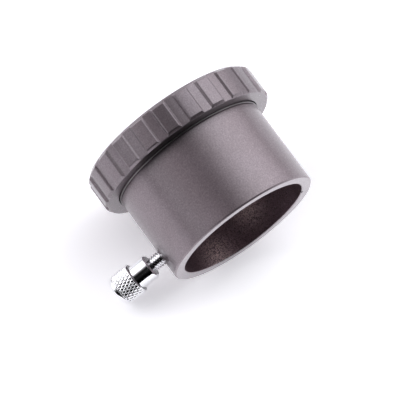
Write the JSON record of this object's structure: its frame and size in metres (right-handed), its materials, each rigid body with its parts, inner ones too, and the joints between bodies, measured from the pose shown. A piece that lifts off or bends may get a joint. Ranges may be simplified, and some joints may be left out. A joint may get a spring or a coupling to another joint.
{
  "type": "barlow lens",
  "caption": "Short barlow lens with an open tube for an eyepiece barrel, a side thumbscrew and a fluted coupling ring that turns on its rear end.",
  "frame": {"origin": "centre of the footprint box in the plane of the coupling ring's rear face; the optical axis is the vertical line x = -0.007675, y = 0", "axes": "+Z along the optical axis towards the open eyepiece end, +X out along the thumbscrew"},
  "size_m": [0.0866, 0.0712, 0.047],
  "materials": {
    "tube_anodised": "bead-blasted, dark grey anodised, satin",
    "ring_anodised": "bead-blasted, dark grey anodised, satin",
    "spring_steel": "drawn wire",
    "black_anodised": "matt black anodised",
    "coated_glass": "polished, anti-reflection coated",
    "chrome_plate": "bright plated",
    "nylon": "natural moulded"
  },
  "bodies": {
    "tube": {"holder_tube": "tube_anodised", "retaining_clip": "spring_steel", "lens_cell": "black_anodised", "lens_spacer": "black_anodised", "lens_retaining_ring": "black_anodised", "front_lens": "coated_glass", "rear_lens": "coated_glass"},
    "coupling_ring": {"coupling_ring": "ring_anodised"},
    "screw_pad": {"thumbscrew_pad": "nylon"},
    "thumbscrew": {"thumbscrew": "chrome_plate"}
  },
  "joints": [
    {"name": "ring_spin", "type": "hinge", "parent": "tube", "child": "coupling_ring", "pos_m": [-0.00768, 0, 0.011], "axis": [0, 0, 1], "continuous": true},
    {"name": "screw_advance", "type": "slide", "parent": "tube", "child": "screw_pad", "axis": [-1, 0, 0], "range_m": [-0.002, 0.005]},
    {"name": "screw_turn", "type": "hinge", "parent": "screw_pad", "child": "thumbscrew", "pos_m": [0.02, 0, 0.0362], "axis": [-1, 0, 0], "range_deg": [-720, 1800]}
  ],
  "couplings": [
    {"joint": "screw_advance", "follows": "screw_turn", "m_per_rad": 0.00015915}
  ]
}
